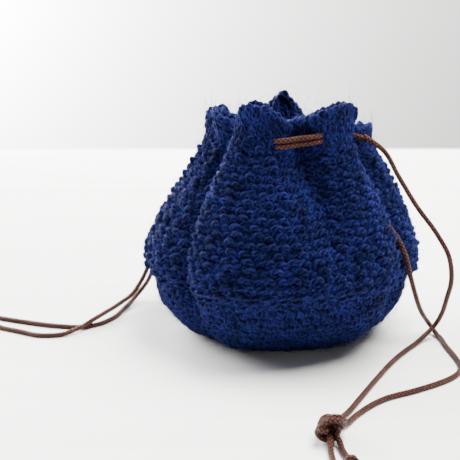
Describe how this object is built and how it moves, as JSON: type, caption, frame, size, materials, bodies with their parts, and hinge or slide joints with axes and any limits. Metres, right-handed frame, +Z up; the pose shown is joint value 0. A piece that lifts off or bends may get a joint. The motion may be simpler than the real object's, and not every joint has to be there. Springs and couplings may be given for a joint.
{
  "type": "kinchaku drawstring pouch",
  "caption": "Small crocheted wool pouch with a flat round base, a gathered open mouth and waxed drawcords knotted at the left and right.",
  "frame": {"origin": "on the surface that the pouch stands on, under the middle of the bag", "axes": "+Z up towards the mouth, -Y towards the front, +X towards the side where the right cord comes out"},
  "size_m": [0.2134, 0.1663, 0.0886],
  "materials": {
    "wool": "fuzzy crocheted wool yarn, deep blue",
    "waxed_cord": "braided round cord, waxed, dark brown"
  },
  "bodies": {
    "root": {"pouch_body": "wool", "right_cord_neck": "waxed_cord", "left_cord_neck": "waxed_cord", "right_cord_leg_over": "waxed_cord", "right_cord_leg_under": "waxed_cord", "left_cord_leg_over": "waxed_cord", "left_cord_leg_under": "waxed_cord", "right_cord_knot": "waxed_cord", "left_cord_knot": "waxed_cord", "right_cord_tail_long": "waxed_cord", "right_cord_tail_short": "waxed_cord", "left_cord_tail_long": "waxed_cord", "left_cord_tail_short": "waxed_cord"}
  },
  "joints": []
}
